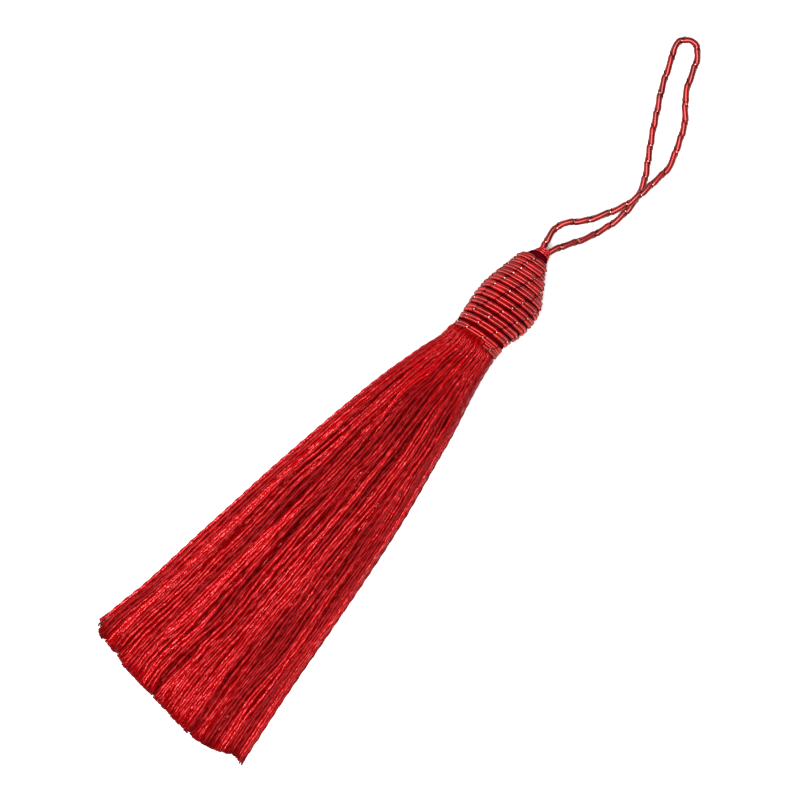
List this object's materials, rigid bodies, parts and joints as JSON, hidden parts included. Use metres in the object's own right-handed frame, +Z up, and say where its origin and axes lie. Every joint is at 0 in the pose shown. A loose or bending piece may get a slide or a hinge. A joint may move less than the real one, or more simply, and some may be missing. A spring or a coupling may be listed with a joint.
{
  "type": "hanging tassel",
  "caption": "Glossy red yarn tassel with a cord-wound head, a bound neck and a twisted hanging loop, lying flat; hangs as a trimming on a bag, key, curtain or cushion",
  "frame": {"origin": "the small flat spot under the wound head, where the tassel rests on the surface", "axes": "+X along the tassel from the cut ends towards the loop, +Y to the left seen from above, +Z up"},
  "size_m": [0.1531, 0.036, 0.0115],
  "materials": {
    "red_silk_yarn": "glossy dyed silk floss, twisted",
    "red_silk_cord": "satin two-ply cord with a fine gold metallic filament",
    "red_fine_thread": "satin fine thread",
    "gold_metallic_thread": "fine metallised filament laid in the groove of the cord"
  },
  "bodies": {
    "root": {"yarn_skirt": "red_silk_yarn", "head_winding": "red_silk_cord", "neck_binding": "red_silk_cord", "top_binding": "red_fine_thread", "hanging_loop": "red_silk_cord"}
  },
  "joints": []
}
